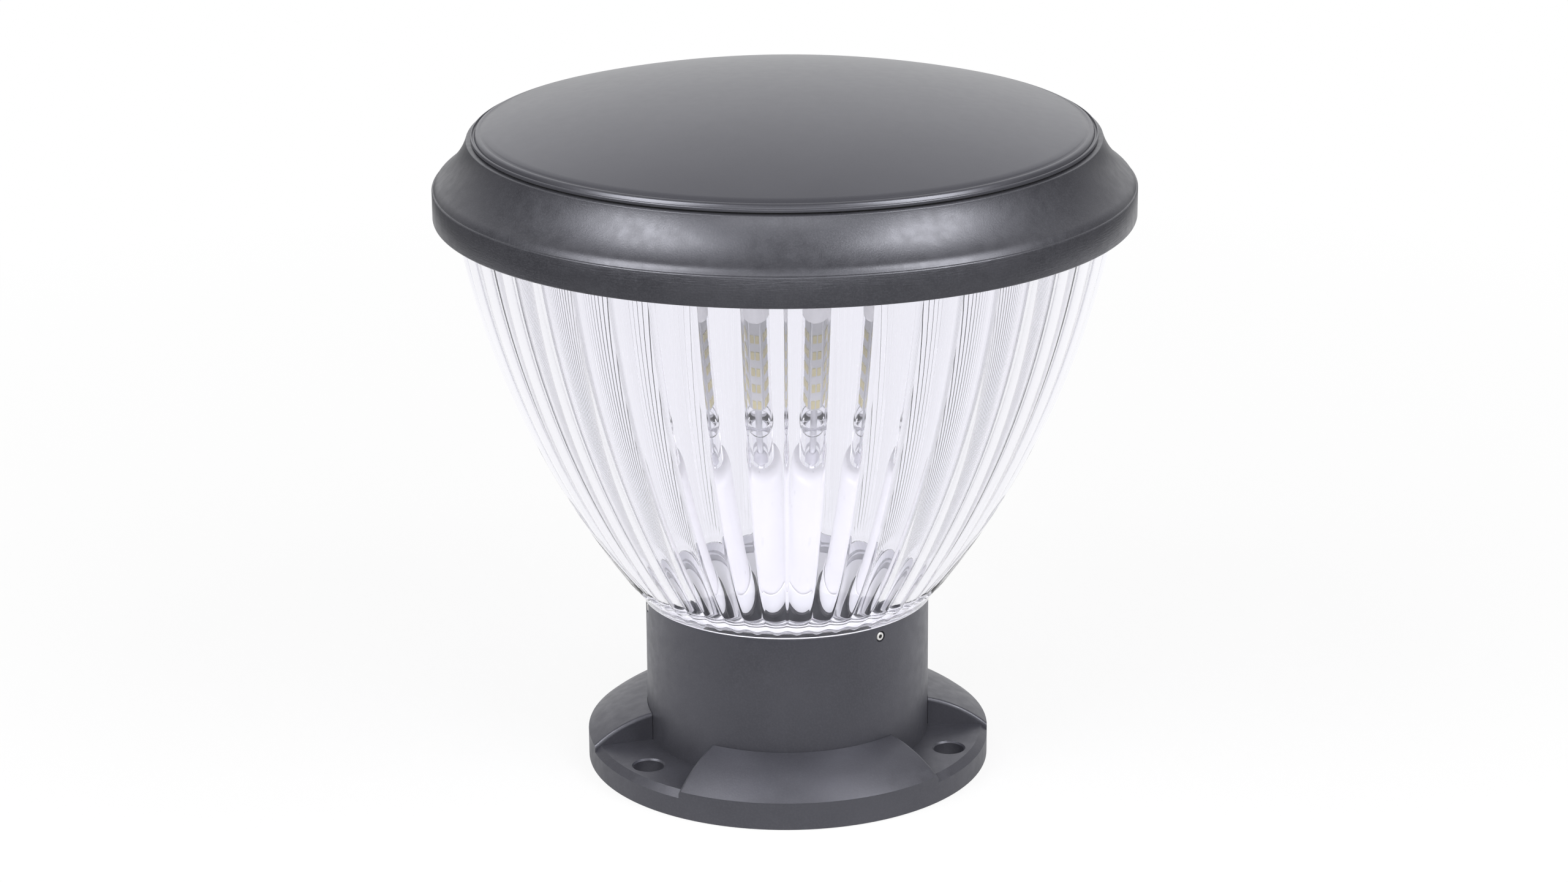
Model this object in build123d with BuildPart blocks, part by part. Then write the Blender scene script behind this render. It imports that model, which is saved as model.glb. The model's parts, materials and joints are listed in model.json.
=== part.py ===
"""Pillar lantern: a clear fluted lens under a domed cap, on a short pillar with a cast flange.

Millimetres. The origin is the middle of the flange's underside, and +Z is up.
The front of the lantern looks along -Y.
"""
import os
from math import cos, hypot, radians, sin, sqrt

from build123d import *

# The way the lantern faces, in degrees, and the number of sides of a hexagon socket
FRONT = -90.0
socket_side_count = 6

# Base flange, a casting with raised segments between three bolt pockets
flange_radius = 74.1
plate_thickness = 10.0
segment_rise = 10.3
segment_bulge = 1.6
rim_side = 10.2
pocket_count = 3
pocket_width = 41.0
pocket_angle = 97.5
pocket_chamfer = 2.4
segment_edge_round = 1.2
mount_hole_diameter = 11.0
mount_offset = 0.625
mount_hole_chamfer = 0.6

# Pillar tube, which stands on the plate inside the raised segments
tube_radius = 52.0
tube_wall = 3.5
tube_height = 53.9
tube_gap = 0.15
tube_edge_round = 0.5
boss_inset = 4.5
boss_radius = 6.0
boss_height = 16.0
tube_seal_width = 1.9
tube_seal_depth = 1.5

# Countersunk screws that hold the tube down from below
tube_screw_radius = 2.5
tube_screw_length = 21.0
tube_screw_head = 4.9
tube_screw_socket = 3.0
tube_screw_sink = 0.4
screw_play = 0.05
through_play = 0.25

# Cable grommet in the middle of the plate
cable_radius = 4.5
grommet_neck_radius = 7.9
grommet_lip_radius = 10.5
grommet_lip = 2.0
grommet_recess = 3.0
grommet_play = 0.1
grommet_slope = 1.0

# Grub screws that clamp the lens neck, three round the top of the tube
grub_count = 3
grub_angle = 310.0
grub_below_top = 3.9
grub_radius = 1.5
grub_play = 0.08
grub_tip_radius = 1.0
grub_tip_length = 0.6
grub_tip_gap = 0.3
grub_sunk = 0.8
grub_recess_radius = 2.05
grub_recess_depth = 1.0
grub_socket_flats = 1.5
grub_socket_depth = 1.5

# Lens: 48 flutes outside, smooth inside, a plain neck that stands in the tube
neck_gasket_thickness = 0.6
neck_gasket_width = 3.0
lens_height = 143.5
lens_overhang = 1.55
lens_rim_inset = 7.4
lens_bow_radius = 323.0
lens_wall = 4.0
flute_count = 48
flute_depth = 2.0
flute_sections = 7
clear_ring = 2.7
clear_ring_proud = 0.05
flute_runout = 5.0
flute_runout_middle = 1.75
flute_least_depth = 0.06
neck_wall = 3.5
neck_depth = 12.5
neck_play = 0.9
neck_root = 2.0
neck_root_slope = 4.7
lens_lip_height = 6.0
lens_lip_thickness = 2.5
lens_lip_width = 7.6
lens_lip_step = 1.2
lens_overlap = 0.5

# Rim ring: the band and the shoulder round the cap
band_radius = 125.0
band_height = 11.0
band_edge_round = 0.6
shoulder_foot = 0.6
shoulder_turn_inset = 3.0
shoulder_turn_rise = 2.3
shoulder_top_inset = 12.5
shoulder_rise = 17.0
shoulder_lower_bow = 0.1
shoulder_upper_bow = 1.2
ring_wall = 3.0
ring_cove_inset = 11.4
ring_cove_rise = 7.0
ring_band_wall = 4.5
ring_band_rise = 1.0
ring_deck = 2.8
ring_deck_width = 26.5
band_lip_height = 3.0
band_lip_play = 0.4
band_lip_step = 2.3
shelf_thickness = 3.0
shelf_reach = 4.4
lens_gasket_thickness = 2.5

# Domed lid on the ring's deck
lid_gasket_thickness = 0.6
lid_gasket_width = 10.8
lid_gasket_inset = 0.7
lid_step = 1.7
lid_side = 1.6
lid_dome_rise = 15.8
lid_edge_round = 0.8
lid_wall = 2.6
lid_seat_width = 7.8
lid_screw_inset = 18.8
lid_boss_radius = 4.0
lid_boss_root = 1.3
lid_screw_count = 4
lid_screw_angle = 45.0

# Reflector, clips and screws inside the cap
clip_count = 4
clip_inset = 6.0
clip_boss_radius = 4.0
clip_sheet = 1.5
clip_width = 12.0
clip_back = 6.0
clip_hook = 4.0
clip_play = 0.8
reflector_sheet = 1.5
reflector_play = 0.7

# Pan-head screws, M4, and the shares of a head that its cross recess takes up
screw_radius = 2.0
screw_head_radius = 3.5
screw_head_height = 2.5
cross_length_share = 1.1
cross_width_share = 0.25
cross_depth_share = 0.5
screw_bite = 9.0

# Lampholder on a bridge above the cable entry
bridge_sheet = 2.0
bridge_half_width = 11.0
bridge_half_span = 24.0
bridge_foot = 12.0
bridge_height = 19.0
bridge_screw_bite = 7.5
holder_radius = 20.0
holder_height = 32.0
holder_floor = 4.0
holder_collar_width = 4.5
holder_collar_thickness = 2.0
holder_collar_below_top = 4.0
holder_shell_play = 0.35
holder_shell_wall = 0.8
holder_shell_fit = 0.1
holder_shell_sunk = 1.0
holder_shell_height = 23.0
holder_contact_radius = 3.0
holder_contact_width = 6.0
holder_contact_sheet = 0.6
holder_screw_inset = 3.0
holder_screw_angle = 20.0
holder_screw_margin = 0.6
contact_gap = 0.3
neck_reflector_sheet = 1.2
neck_reflector_play = 0.6
neck_reflector_rise = 5.2
neck_reflector_flat = 2.0
lamp_collar_play = 0.5
lamp_collar_height = 13.8
shade_ring_width = 3.0
shade_ring_height = 4.3
shade_ring_play = 0.2
shade_ring_chamfer = 1.0

# Lamp: screw cap, white body, clear tube and a six-sided column of light boards
cap_radius = 12.85
cap_wall = 0.6
cap_height = 21.0
cap_insulator_height = 3.0
cap_insulator_foot = 8.0
cap_contact_radius = 4.5
cap_contact_height = 2.0
cap_above_holder_floor = 3.5
body_foot_radius = 14.0
body_radius = 24.0
body_flare_height = 9.0
body_height = 54.0
body_wall = 2.0
body_edge_round = 3.0
body_flare_bow = 1.1
body_spigot = 8.0
body_spigot_play = 0.1
tube_lamp_clearance = 1.69
tube_lamp_wall = 1.0
tube_lamp_height = 54.0
bead_height = 12.0
bead_width = 3.0
bead_depth = 0.8
stem_radius = 4.0
stem_height = 20.5
column_apothem = 10.2
column_height = 33.5
column_side_count = 6
board_width = 10.0
board_thickness = 1.2
chip_width = 3.5
chip_height = 2.8
chip_thickness = 0.7
chip_spread = 4.9
chip_rows = 5
chip_first_row = 2.2
chip_pitch = 6.1
lamp_top_height = 8.0
lamp_top_round = 2.0
driver_play = 0.3
driver_rise = 2.0
driver_height = 36.0
driver_thickness = 1.6
capacitor_radius = 5.0
capacitor_length = 16.0
choke_size = 12.0
choke_height = 14.0
choke_rise = 9.0
capacitor_rise = 21.5

# Terminal block, earth tag and the leads inside the pillar
block_length = 30.0
block_depth = 14.0
block_height = 12.0
block_offset = 19.0
block_screw_inset = 2.5
block_screw_bite = 5.0
pole_spacing = 9.0
pole_entry_radius = 1.5
pole_entry_depth = 6.0
pole_height = 5.0
pole_well_radius = 2.4
pole_well_depth = 4.0
pole_screw_radius = 1.25
pole_screw_head = 2.1
pole_screw_head_height = 1.6
lead_radius = 1.1
lead_bend = 4.0
lead_inside = 4.0
lead_hole_radius = 1.7
lead_rise_offset = 7.0
earth_inset = 9.6
earth_angle = 134.0
earth_boss_radius = 5.0
earth_boss_height = 4.0
earth_screw_bite = 5.0
earth_lead_inside = 3.0
earth_tag_sheet = 1.2
earth_tag_radius = 4.6
earth_tag_width = 4.0
earth_barrel_radius = 2.0
earth_barrel_length = 5.0
earth_barrel_reach = 10.5
earth_lane = 13.5

# Heights and radii that follow from the sizes above
segment_inner = tube_radius + tube_gap
mount_circle_diameter = segment_inner + flange_radius + 2 * mount_offset
segment_top = plate_thickness + segment_rise
tube_bore = tube_radius - tube_wall
boss_circle_radius = tube_bore - boss_inset
tube_top = plate_thickness + tube_height
lens_foot_radius = tube_radius + lens_overhang
lens_rim_radius = band_radius - lens_rim_inset
lens_lip_inner = lens_rim_radius - lens_lip_width
lens_seat = tube_top + neck_gasket_thickness
lens_rim = lens_seat + lens_height
neck_radius = tube_bore - neck_play
neck_inner = neck_radius - neck_wall
neck_bottom = lens_seat - neck_depth
lens_top = lens_rim + lens_lip_height
lens_lip_side = lens_rim_radius + lens_lip_step
lens_lip_bottom = lens_top - lens_lip_thickness
grub_height = tube_top - grub_below_top
grub_tip_inner = neck_radius + grub_tip_gap
grub_screw_inner = grub_tip_inner + grub_tip_length
grub_screw_outer = tube_radius - grub_sunk
band_bottom = lens_rim
band_top = band_bottom + band_height
ring_top = band_top + shoulder_rise
shoulder_turn_radius = band_radius - shoulder_turn_inset
shoulder_top_radius = band_radius - shoulder_top_inset
ring_deck_inner = shoulder_top_radius - ring_deck_width
shelf_inner = lens_rim_radius - shelf_reach
shelf_bottom = lens_top + lens_gasket_thickness
shelf_top = shelf_bottom + shelf_thickness
deck_bottom = ring_top - ring_deck
lid_radius = shoulder_top_radius - lid_step
lid_gasket_inner = lid_radius - lid_gasket_width
lid_screw_circle = lid_radius - lid_screw_inset
lid_seat = ring_top + lid_gasket_thickness
lid_edge = lid_seat + lid_side
lid_apex = lid_edge + lid_dome_rise
dome_radius = (lid_radius**2 + lid_dome_rise**2) / (2 * lid_dome_rise)
clip_circle = lens_lip_inner - clip_inset
clip_leg_outer = lens_lip_inner - clip_play
clip_leg_inner = clip_leg_outer - clip_sheet
clip_deck_bottom = shelf_bottom - clip_sheet
reflector_top = shelf_bottom + reflector_sheet
bridge_top = plate_thickness + bridge_height
holder_collar_radius = holder_radius + holder_collar_width
holder_screw_circle = holder_radius - holder_screw_inset
holder_screw_bite = holder_floor - holder_screw_margin
holder_top = bridge_top + holder_height
holder_bore = cap_radius + holder_shell_play + holder_shell_wall + holder_shell_fit
collar_top = holder_top - holder_collar_below_top
shade_bottom = collar_top + neck_reflector_sheet
cap_contact_bottom = bridge_top + holder_floor + cap_above_holder_floor
cap_bottom = cap_contact_bottom + cap_contact_height
shell_bottom = cap_bottom + cap_insulator_height
body_bottom = shell_bottom + cap_height
body_top = body_bottom + body_height
chip_face = column_apothem + board_thickness + chip_thickness
chip_corner = hypot(chip_face, (chip_spread + chip_width) / 2)
tube_lamp_radius = chip_corner + tube_lamp_clearance + tube_lamp_wall
column_bottom = body_top + stem_height
column_top = column_bottom + column_height
boss_angle = pocket_angle + 180.0 / pocket_count
pole_level = plate_thickness + pole_height
earth_level = plate_thickness + earth_boss_height


def polar(radius, angle):
    """A point in plan at a radius and an angle in degrees."""
    return (radius * cos(radians(angle)), radius * sin(radians(angle)))


def polar_places(radius, count, start):
    """Points in plan, spread evenly round the axis."""
    return [polar(radius, start + k * 360.0 / count) for k in range(count)]


def radial_plane(radius, angle, height):
    """A plane that faces outward from the axis."""
    x, y = polar(radius, angle)
    outward = (cos(radians(angle)), sin(radians(angle)), 0)
    along = (-sin(radians(angle)), cos(radians(angle)), 0)
    return Plane(origin=(x, y, height), x_dir=along, z_dir=outward)


def meridian_plane(angle):
    """An upright plane through the axis, with radius along its x and height along its y."""
    return Plane(
        origin=(0, 0, 0),
        x_dir=(cos(radians(angle)), sin(radians(angle)), 0),
        z_dir=(sin(radians(angle)), -cos(radians(angle)), 0),
    )


def bowed(start, end, bow):
    """The middle of an arc from start to end that stands bow to the left of its chord."""
    across = hypot(end[0] - start[0], end[1] - start[1])
    left = (-(end[1] - start[1]) / across, (end[0] - start[0]) / across)
    return ((start[0] + end[0]) / 2 + bow * left[0], (start[1] + end[1]) / 2 + bow * left[1])


def ring(inner, outer, bottom, top):
    """A plain round ring."""
    with BuildPart() as piece:
        with BuildSketch(Plane.XY.offset(bottom)):
            Circle(outer)
            Circle(inner, mode=Mode.SUBTRACT)
        extrude(amount=top - bottom)
    return piece


def turned(points):
    """A solid turned from an outline of radius and height."""
    with BuildPart() as piece:
        with BuildSketch(Plane.XZ):
            with BuildLine():
                Polyline(*points, close=True)
            make_face()
        revolve(axis=Axis.Z)
    return piece


def pan_screws(places, seat, tip, shank=screw_radius, head=screw_head_radius, head_height=screw_head_height):
    """Cross-head screws at points in plan, each with its head against seat and its end at tip."""
    into = 1 if tip > seat else -1
    head_top = seat - into * head_height
    with BuildPart() as screws:
        with BuildSketch(Plane.XY.offset(seat)):
            with Locations(*places):
                Circle(head)
        extrude(amount=-into * head_height)
        with BuildSketch(Plane.XY.offset(seat)):
            with Locations(*places):
                Circle(shank)
        extrude(amount=tip - seat)
        with BuildSketch(Plane.XY.offset(head_top)):
            with Locations(*places):
                Rectangle(cross_length_share * head, cross_width_share * head)
                Rectangle(cross_width_share * head, cross_length_share * head)
        extrude(amount=into * cross_depth_share * head_height, mode=Mode.SUBTRACT)
    return screws


# Base flange
pocket_places = polar_places(mount_circle_diameter / 2, pocket_count, pocket_angle)
boss_places = polar_places(boss_circle_radius, pocket_count, boss_angle)
bridge_foot_middle = bridge_half_span + bridge_foot / 2
bridge_screw_places = [(-bridge_foot_middle, 0), (bridge_foot_middle, 0)]
segment_start = (segment_inner, segment_top)
segment_end = (flange_radius, rim_side)
seal_outer = tube_radius - (tube_wall - tube_seal_width) / 2
seal_inner = seal_outer - tube_seal_width
block_middle = block_offset + block_depth / 2
block_screw_reach = block_length / 2 - block_screw_inset
block_screw_places = [(-block_screw_reach, block_middle), (block_screw_reach, block_middle)]
block_screw_tip = plate_thickness - block_screw_bite
earth_screw_tip = plate_thickness - earth_screw_bite
earth_x, earth_y = polar(tube_bore - earth_inset, earth_angle)

with BuildPart() as base_flange:
    with BuildSketch(Plane.XZ):
        with BuildLine():
            Polyline(
                segment_start,
                (segment_inner, plate_thickness),
                (0, plate_thickness),
                (0, 0),
                (flange_radius, 0),
                segment_end,
            )
            ThreePointArc(segment_end, bowed(segment_end, segment_start, -segment_bulge), segment_start)
        make_face()
    revolve(axis=Axis.Z)
    for k in range(pocket_count):
        pocket_edge = pocket_angle + k * 360.0 / pocket_count - pocket_width / 2
        with BuildSketch(meridian_plane(pocket_edge)):
            with BuildLine():
                Polyline(
                    (segment_inner, plate_thickness),
                    (flange_radius - pocket_chamfer, plate_thickness),
                    (flange_radius + pocket_chamfer, plate_thickness - 2 * pocket_chamfer),
                    (flange_radius + pocket_chamfer, segment_top + pocket_chamfer),
                    (segment_inner, segment_top + pocket_chamfer),
                    close=True,
                )
            make_face()
        revolve(axis=Axis.Z, revolution_arc=pocket_width, mode=Mode.SUBTRACT)
    pocket_walls = base_flange.faces().filter_by(GeomType.PLANE) - base_flange.faces().filter_by(Axis.Z)
    segment_edges = [
        wall.edges().filter_by(GeomType.LINE, reverse=True).sort_by(SortBy.LENGTH)[-1]
        for wall in pocket_walls
    ]
    fillet(segment_edges, radius=segment_edge_round)
    with BuildSketch(Plane.XY.offset(plate_thickness)):
        Circle(seal_outer)
        Circle(seal_inner, mode=Mode.SUBTRACT)
    extrude(amount=-tube_seal_depth, mode=Mode.SUBTRACT)
    with BuildSketch(Plane.XY.offset(plate_thickness)):
        with Locations((earth_x, earth_y)):
            Circle(earth_boss_radius)
    extrude(amount=earth_boss_height)
    with BuildSketch(Plane.XY):
        with Locations(*pocket_places):
            Circle(mount_hole_diameter / 2)
        with Locations(*boss_places):
            Circle(tube_screw_radius + through_play)
        Circle(grommet_neck_radius + grommet_play)
    extrude(amount=plate_thickness, mode=Mode.SUBTRACT)
    with Locations(*[(x, y, plate_thickness) for x, y in pocket_places]):
        Cone(
            bottom_radius=mount_hole_diameter / 2,
            top_radius=mount_hole_diameter / 2 + mount_hole_chamfer,
            height=mount_hole_chamfer,
            align=(Align.CENTER, Align.CENTER, Align.MAX),
            mode=Mode.SUBTRACT,
        )
    sink_depth = tube_screw_head + tube_screw_sink + through_play - tube_screw_radius
    with Locations(*boss_places):
        Cone(
            bottom_radius=tube_screw_radius + through_play + sink_depth,
            top_radius=tube_screw_radius + through_play,
            height=sink_depth,
            align=(Align.CENTER, Align.CENTER, Align.MIN),
            mode=Mode.SUBTRACT,
        )
    with BuildSketch(Plane.XY):
        Circle(grommet_lip_radius + grommet_play)
    extrude(amount=grommet_recess, mode=Mode.SUBTRACT)
    with BuildSketch(Plane.XY.offset(plate_thickness)):
        with Locations(*bridge_screw_places):
            Circle(screw_radius + screw_play)
    extrude(amount=-bridge_screw_bite - screw_play, mode=Mode.SUBTRACT)
    with BuildSketch(Plane.XY.offset(block_screw_tip - screw_play)):
        with Locations(*block_screw_places):
            Circle(pole_screw_radius + screw_play)
    extrude(amount=plate_thickness, mode=Mode.SUBTRACT)
    with BuildSketch(Plane.XY.offset(earth_screw_tip - screw_play)):
        with Locations((earth_x, earth_y)):
            Circle(screw_radius + screw_play)
    extrude(amount=earth_level, mode=Mode.SUBTRACT)

tube_seal = ring(seal_inner, seal_outer, plate_thickness - tube_seal_depth, plate_thickness)

# Pillar tube
grub_angles = [grub_angle + k * 360.0 / grub_count for k in range(grub_count)]
with BuildPart() as pillar_tube:
    with BuildSketch(Plane.XY.offset(plate_thickness)):
        Circle(tube_radius)
        Circle(tube_bore, mode=Mode.SUBTRACT)
    extrude(amount=tube_height)
    fillet(pillar_tube.edges().group_by(Axis.Z)[-1].sort_by(SortBy.LENGTH)[-1], radius=tube_edge_round)
    with BuildSketch(Plane.XY.offset(plate_thickness)):
        with Locations(*boss_places):
            Circle(boss_radius)
    extrude(amount=boss_height)
    with BuildSketch(Plane.XY.offset(plate_thickness)):
        with Locations(*boss_places):
            Circle(tube_screw_radius + screw_play)
    extrude(amount=tube_screw_length + tube_screw_sink + screw_play - plate_thickness, mode=Mode.SUBTRACT)
    for angle in grub_angles:
        with BuildSketch(radial_plane(0, angle, grub_height)):
            Circle(grub_radius + grub_play)
        extrude(amount=tube_radius + tube_wall, mode=Mode.SUBTRACT)
        with BuildSketch(radial_plane(tube_radius - grub_recess_depth, angle, grub_height)):
            Circle(grub_recess_radius)
        extrude(amount=tube_wall, mode=Mode.SUBTRACT)

with BuildPart() as tube_screws:
    head_cone = tube_screw_head - tube_screw_radius
    with Locations(*[(x, y, tube_screw_sink) for x, y in boss_places]):
        Cone(
            bottom_radius=tube_screw_head,
            top_radius=tube_screw_radius,
            height=head_cone,
            align=(Align.CENTER, Align.CENTER, Align.MIN),
        )
    with BuildSketch(Plane.XY.offset(tube_screw_sink + head_cone)):
        with Locations(*boss_places):
            Circle(tube_screw_radius)
    extrude(amount=tube_screw_length - head_cone)
    with BuildSketch(Plane.XY.offset(tube_screw_sink)):
        with Locations(*boss_places):
            RegularPolygon(tube_screw_socket / 2, socket_side_count, major_radius=False)
    extrude(amount=head_cone, mode=Mode.SUBTRACT)

neck_gasket = ring(tube_bore, tube_bore + neck_gasket_width, tube_top, lens_seat)

cable_grommet = turned([
    (cable_radius, grommet_recess - grommet_lip),
    (grommet_lip_radius, grommet_recess - grommet_lip),
    (grommet_lip_radius, grommet_recess),
    (grommet_neck_radius, grommet_recess),
    (grommet_neck_radius, plate_thickness),
    (grommet_lip_radius, plate_thickness),
    (grommet_lip_radius - grommet_slope, plate_thickness + grommet_lip),
    (cable_radius, plate_thickness + grommet_lip),
])


def grub_tip(angle):
    """The soft pad at the inner end of a grub screw."""
    with BuildPart() as tip:
        with BuildSketch(radial_plane(grub_tip_inner, angle, grub_height)):
            Circle(grub_tip_radius)
        extrude(amount=grub_tip_length)
    return tip


def grub_screw(angle):
    """A grub screw with a hexagon socket in its outer end."""
    with BuildPart() as screw:
        with BuildSketch(radial_plane(grub_screw_inner, angle, grub_height)):
            Circle(grub_radius)
        extrude(amount=grub_screw_outer - grub_screw_inner)
        with BuildSketch(radial_plane(grub_screw_outer, angle, grub_height)):
            RegularPolygon(grub_socket_flats / 2, socket_side_count, major_radius=False)
        extrude(amount=-grub_socket_depth, mode=Mode.SUBTRACT)
    return screw


# Lampholder on its bridge
holder_screw_places = [
    polar(holder_screw_circle, -holder_screw_angle),
    polar(holder_screw_circle, 180 + holder_screw_angle),
]
lead_places = [(0, lead_rise_offset), (pole_spacing, lead_rise_offset)]
bridge_end = bridge_half_span + bridge_foot
bridge_leg = bridge_half_span - bridge_sheet
with BuildPart() as holder_bridge:
    with BuildSketch(Plane.XZ):
        with BuildLine():
            Polyline(
                (-bridge_end, plate_thickness),
                (-bridge_leg, plate_thickness),
                (-bridge_leg, bridge_top - bridge_sheet),
                (bridge_leg, bridge_top - bridge_sheet),
                (bridge_leg, plate_thickness),
                (bridge_end, plate_thickness),
                (bridge_end, plate_thickness + bridge_sheet),
                (bridge_half_span, plate_thickness + bridge_sheet),
                (bridge_half_span, bridge_top),
                (-bridge_half_span, bridge_top),
                (-bridge_half_span, plate_thickness + bridge_sheet),
                (-bridge_end, plate_thickness + bridge_sheet),
                close=True,
            )
        make_face()
    extrude(amount=bridge_half_width, both=True)
    with BuildSketch(Plane.XY.offset(plate_thickness)):
        with Locations(*bridge_screw_places):
            Circle(screw_radius + through_play)
    extrude(amount=bridge_sheet, mode=Mode.SUBTRACT)
    with BuildSketch(Plane.XY.offset(bridge_top)):
        with Locations(*holder_screw_places):
            Circle(screw_radius + through_play)
        with Locations(*lead_places):
            Circle(lead_hole_radius)
    extrude(amount=-bridge_sheet, mode=Mode.SUBTRACT)

bridge_seat = plate_thickness + bridge_sheet
bridge_screws = pan_screws(bridge_screw_places, bridge_seat, plate_thickness - bridge_screw_bite)

with BuildPart() as lampholder_body:
    with BuildSketch(Plane.XY.offset(bridge_top)):
        Circle(holder_radius)
    extrude(amount=holder_height)
    with BuildSketch(Plane.XY.offset(collar_top)):
        Circle(holder_collar_radius)
    extrude(amount=-holder_collar_thickness)
    with BuildSketch(Plane.XY.offset(bridge_top + holder_floor)):
        Circle(holder_bore)
    extrude(amount=holder_height, mode=Mode.SUBTRACT)
    with BuildSketch(Plane.XY.offset(bridge_top)):
        with Locations(*holder_screw_places):
            Circle(screw_radius + screw_play)
    extrude(amount=holder_screw_bite + screw_play, mode=Mode.SUBTRACT)

holder_screws = pan_screws(holder_screw_places, bridge_top - bridge_sheet, bridge_top + holder_screw_bite)
shell_top = holder_top - holder_shell_sunk
holder_shell_inner = cap_radius + holder_shell_play
lampholder_shell = ring(
    holder_shell_inner,
    holder_shell_inner + holder_shell_wall,
    shell_top - holder_shell_height,
    shell_top,
)

with BuildPart() as lampholder_contact:
    with BuildSketch(Plane.XY.offset(bridge_top + holder_floor)):
        Rectangle(2 * holder_shell_inner - holder_contact_width, holder_contact_width)
    extrude(amount=holder_contact_sheet)
    with BuildSketch(Plane.XY.offset(bridge_top + holder_floor)):
        Circle(holder_contact_radius)
    extrude(amount=cap_above_holder_floor - contact_gap)

neck_reflector_inner = holder_radius + shade_ring_play
neck_reflector_outer = neck_inner - neck_reflector_play
lamp_collar_inner = body_radius + lamp_collar_play
lamp_collar_outer = lamp_collar_inner + neck_reflector_sheet
lamp_collar_top = shade_bottom + lamp_collar_height
shade_ring_inner = lamp_collar_outer + shade_ring_play
shade_ring_radius = shade_ring_inner + shade_ring_width
shade_ring_top = shade_bottom + shade_ring_height
dish_start = shade_ring_radius + neck_reflector_flat
neck_reflector = turned([
    (neck_reflector_inner, collar_top),
    (dish_start, collar_top),
    (neck_reflector_outer, collar_top + neck_reflector_rise),
    (neck_reflector_outer, shade_bottom + neck_reflector_rise),
    (dish_start, shade_bottom),
    (lamp_collar_outer, shade_bottom),
    (lamp_collar_outer, lamp_collar_top),
    (lamp_collar_inner, lamp_collar_top),
    (lamp_collar_inner, shade_bottom),
    (neck_reflector_inner, shade_bottom),
])
shade_ring = turned([
    (shade_ring_inner, shade_bottom),
    (shade_ring_radius, shade_bottom),
    (shade_ring_radius, shade_ring_top - shade_ring_chamfer),
    (shade_ring_radius - shade_ring_chamfer, shade_ring_top),
    (shade_ring_inner, shade_ring_top),
])

# Terminal block, earth tag and leads
pole_places = [(k * pole_spacing, block_middle) for k in (-1, 0, 1)]
block_top = plate_thickness + block_height
with BuildPart() as terminal_block:
    with BuildSketch(Plane.XY.offset(plate_thickness)):
        with Locations((0, block_middle)):
            Rectangle(block_length, block_depth)
    extrude(amount=block_height)
    with BuildSketch(Plane.XY.offset(block_top)):
        with Locations(*pole_places):
            Circle(pole_well_radius)
    extrude(amount=-pole_well_depth, mode=Mode.SUBTRACT)
    with BuildSketch(Plane.XY.offset(block_top)):
        with Locations(*block_screw_places):
            Circle(pole_screw_head + through_play)
    extrude(amount=-pole_well_depth, mode=Mode.SUBTRACT)
    with BuildSketch(Plane.XY.offset(plate_thickness)):
        with Locations(*block_screw_places):
            Circle(pole_screw_radius + screw_play)
    extrude(amount=block_height, mode=Mode.SUBTRACT)
    for x, y in pole_places:
        with BuildSketch(Plane(origin=(x, block_offset, pole_level), x_dir=(1, 0, 0), z_dir=(0, 1, 0))):
            Circle(pole_entry_radius)
        extrude(amount=pole_entry_depth, mode=Mode.SUBTRACT)

well_floor = block_top - pole_well_depth
terminal_screws = pan_screws(
    pole_places,
    well_floor + pole_screw_head_height,
    well_floor,
    shank=pole_screw_radius,
    head=pole_screw_head,
    head_height=pole_screw_head_height,
)
block_screws = pan_screws(
    block_screw_places,
    well_floor,
    block_screw_tip,
    shank=pole_screw_radius,
    head=pole_screw_head,
    head_height=pole_screw_head_height,
)

earth_barrel_start = earth_y - earth_barrel_reach
earth_tag_top = earth_level + earth_tag_sheet
with BuildPart() as earth_tag:
    with BuildSketch(Plane.XY.offset(earth_level)):
        with Locations((earth_x, earth_y)):
            Circle(earth_tag_radius)
        with Locations((earth_x, earth_barrel_start + earth_barrel_reach / 2)):
            Rectangle(earth_tag_width, earth_barrel_reach)
        with Locations((earth_x, earth_y)):
            Circle(screw_radius + through_play, mode=Mode.SUBTRACT)
    extrude(amount=earth_tag_sheet)
    barrel_plane = Plane(origin=(earth_x, earth_barrel_start, pole_level), x_dir=(1, 0, 0), z_dir=(0, 1, 0))
    with BuildSketch(barrel_plane):
        Circle(earth_barrel_radius)
    extrude(amount=earth_barrel_length)
    with BuildSketch(barrel_plane):
        Circle(lead_radius + screw_play)
    extrude(amount=earth_barrel_length, mode=Mode.SUBTRACT)

earth_screw = pan_screws([(earth_x, earth_y)], earth_tag_top, earth_screw_tip)


def lead(points):
    """A round wire along straight runs joined by bends."""
    with BuildPart() as wire:
        with BuildLine() as route:
            FilletPolyline(*points, radius=lead_bend)
        with BuildSketch(route.line ^ 0):
            Circle(lead_radius)
        sweep()
    return wire


lead_end = block_offset + lead_inside
lead_neutral = lead([
    (0, lead_end, pole_level),
    (0, lead_rise_offset, pole_level),
    (0, lead_rise_offset, bridge_top),
])
lead_live = lead([
    (pole_spacing, lead_end, pole_level),
    (pole_spacing, lead_rise_offset, pole_level),
    (pole_spacing, lead_rise_offset, bridge_top),
])
lead_earth = lead([
    (-pole_spacing, lead_end, pole_level),
    (-pole_spacing, earth_lane, pole_level),
    (earth_x, earth_lane, pole_level),
    (earth_x, earth_barrel_start + earth_lead_inside, pole_level),
])

# Lens
lens_chord = hypot(lens_rim_radius - lens_foot_radius, lens_height)
bow_offset = sqrt(lens_bow_radius**2 - (lens_chord / 2) ** 2)
bow_radius_centre = (lens_foot_radius + lens_rim_radius) / 2 - bow_offset * lens_height / lens_chord
lens_flare = lens_rim_radius - lens_foot_radius
bow_height_centre = lens_seat + lens_height / 2 + bow_offset * lens_flare / lens_chord


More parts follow.
